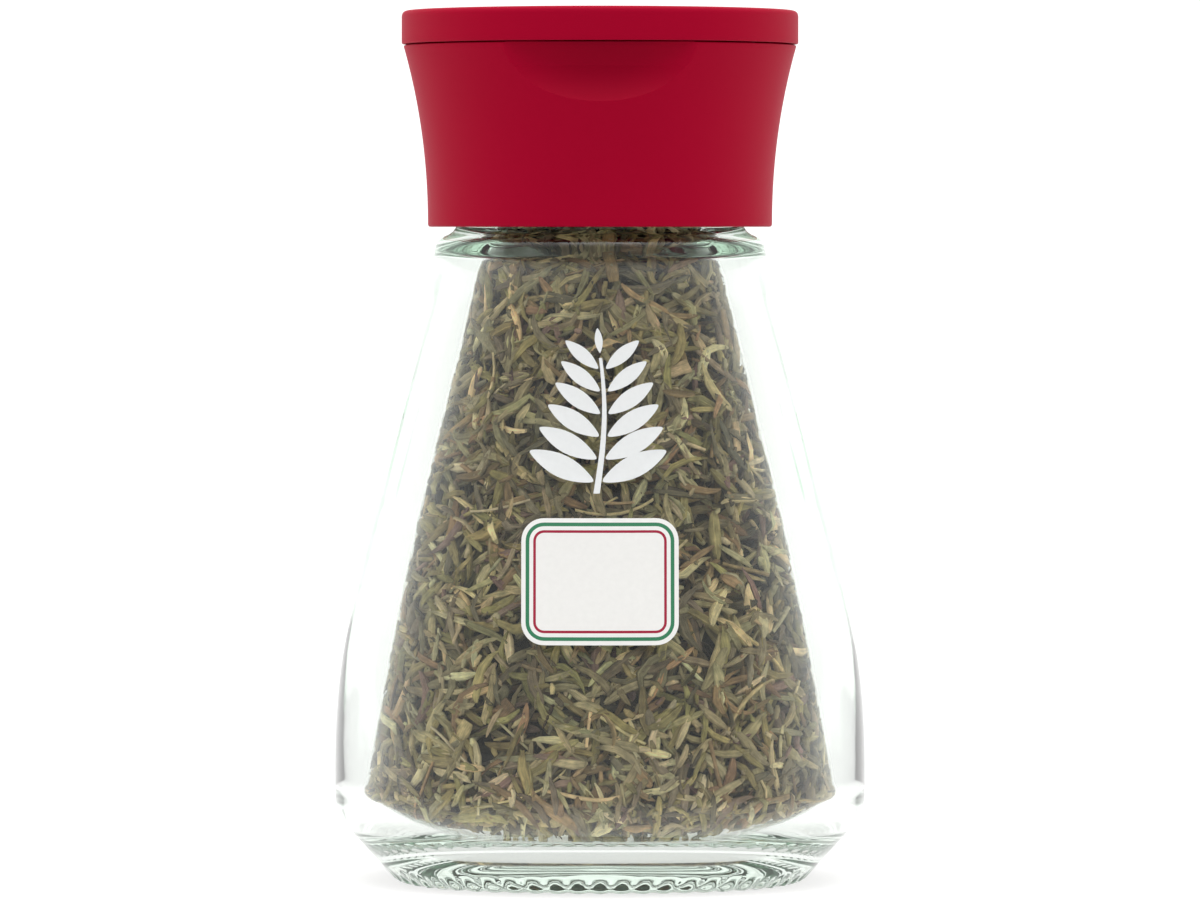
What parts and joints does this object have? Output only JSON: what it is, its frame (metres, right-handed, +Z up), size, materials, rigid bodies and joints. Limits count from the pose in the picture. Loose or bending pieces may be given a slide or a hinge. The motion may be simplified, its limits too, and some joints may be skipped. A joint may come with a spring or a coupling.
{
  "type": "spice jar of dried thyme",
  "caption": "Squat clear glass spice jar with a tapering shoulder, filled with dried thyme, with a red screw closure and a flip lid over its pouring holes.",
  "frame": {"origin": "centre of the foot ring, on the surface the jar stands on", "axes": "+Z up along the jar's axis; -Y out of the front, which carries the sticker and the thumb scoop"},
  "size_m": [0.063, 0.063, 0.103],
  "materials": {
    "jar_glass": "clear, faintly green, polished",
    "thyme_leaves": "dry grey-green leaves, matt",
    "label_sticker": "plain white, satin",
    "seal_liner": "white foam, matt",
    "closure_body": "red, fine satin",
    "hinge_web": "red, fine satin",
    "flip_lid": "red, fine satin"
  },
  "bodies": {
    "jar": {"jar_glass": "jar_glass", "thyme_leaves": "thyme_leaves", "label_sticker": "label_sticker"},
    "liner": {"seal_liner": "seal_liner"},
    "closure": {"closure_body": "closure_body", "hinge_web": "hinge_web"},
    "lid": {"flip_lid": "flip_lid"}
  },
  "joints": [
    {"name": "closure_lift", "type": "slide", "parent": "jar", "child": "liner", "axis": [0, 0, 1], "range_m": [0, 0.0042]},
    {"name": "closure_turn", "type": "hinge", "parent": "liner", "child": "closure", "pos_m": [0, 0, 0.08], "axis": [0, 0, 1], "range_deg": [0, 360]},
    {"name": "lid_flip", "type": "hinge", "parent": "closure", "child": "lid", "pos_m": [0, 0.023, 0.09905], "axis": [-1, 0, 0], "range_deg": [0, 130]}
  ],
  "couplings": [
    {"joint": "closure_lift", "follows": "closure_turn", "m_per_rad": 0.000668}
  ]
}
